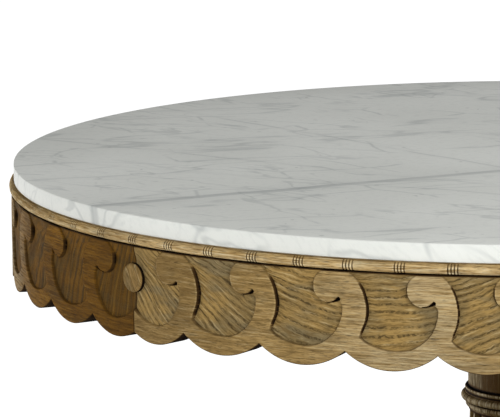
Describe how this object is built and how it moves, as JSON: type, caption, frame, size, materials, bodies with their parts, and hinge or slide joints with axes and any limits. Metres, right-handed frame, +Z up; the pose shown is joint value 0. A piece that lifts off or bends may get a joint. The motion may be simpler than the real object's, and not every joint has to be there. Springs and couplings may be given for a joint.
{
  "type": "round pedestal table",
  "caption": "Round table: marble slab on an apron carved with rolling waves, on a turned and fluted column over a round plinth with levelling feet.",
  "frame": {"origin": "on the floor, under the column's axis", "axes": "+Z up along the column; -Y is the front; two apron panels meet in a curl joint at 45 degrees to the left of the front"},
  "size_m": [1.2188, 1.2188, 0.762],
  "materials": {
    "marble": "honed",
    "clear_pad": "matt",
    "plywood": "sanded",
    "carved_oak": "weathered, dark glaze in the hollows",
    "boss_oak": "weathered",
    "moulding_oak": "weathered",
    "turned_oak": "weathered",
    "plain_oak": "planed",
    "black_plate": "powder coat",
    "screw_steel": "zinc",
    "zinc_steel": "zinc",
    "glide_steel": "satin"
  },
  "bodies": {
    "table": {"marble_top": "marble", "marble_pads": "clear_pad", "sub_top": "plywood", "rim_moulding_1": "moulding_oak", "rim_moulding_2": "moulding_oak", "rim_moulding_3": "moulding_oak", "rim_moulding_4": "moulding_oak", "apron_panel_1": "carved_oak", "apron_panel_2": "carved_oak", "apron_panel_3": "carved_oak", "apron_panel_4": "carved_oak", "apron_panel_5": "carved_oak", "apron_panel_6": "carved_oak", "apron_panel_7": "carved_oak", "apron_panel_8": "carved_oak", "joint_bosses": "boss_oak", "glue_blocks": "plain_oak", "block_screws": "screw_steel", "bearer_upper": "plain_oak", "bearer_lower": "plain_oak", "bearer_screws": "screw_steel", "mounting_plate": "black_plate", "plate_screws": "screw_steel", "capital_block": "turned_oak", "neck": "turned_oak", "collar_ring": "turned_oak", "fluted_shaft": "turned_oak", "base_torus": "turned_oak", "plinth_cap": "turned_oak", "plinth_base": "turned_oak", "plinth_screws": "screw_steel", "bun_foot_1": "turned_oak", "bun_foot_2": "turned_oak", "bun_foot_3": "turned_oak", "bun_foot_4": "turned_oak", "foot_inserts": "zinc_steel", "tie_rod": "zinc_steel", "rod_washers": "zinc_steel", "rod_nuts": "zinc_steel"},
    "leveller_1": {"leveller_1": "glide_steel"},
    "leveller_2": {"leveller_2": "glide_steel"},
    "leveller_3": {"leveller_3": "glide_steel"},
    "leveller_4": {"leveller_4": "glide_steel"}
  },
  "joints": [
    {"name": "level_1", "type": "slide", "parent": "table", "child": "leveller_1", "axis": [0, 0, -1], "range_m": [0, 0.012]},
    {"name": "level_2", "type": "slide", "parent": "table", "child": "leveller_2", "axis": [0, 0, -1], "range_m": [0, 0.012]},
    {"name": "level_3", "type": "slide", "parent": "table", "child": "leveller_3", "axis": [0, 0, -1], "range_m": [0, 0.012]},
    {"name": "level_4", "type": "slide", "parent": "table", "child": "leveller_4", "axis": [0, 0, -1], "range_m": [0, 0.012]}
  ]
}
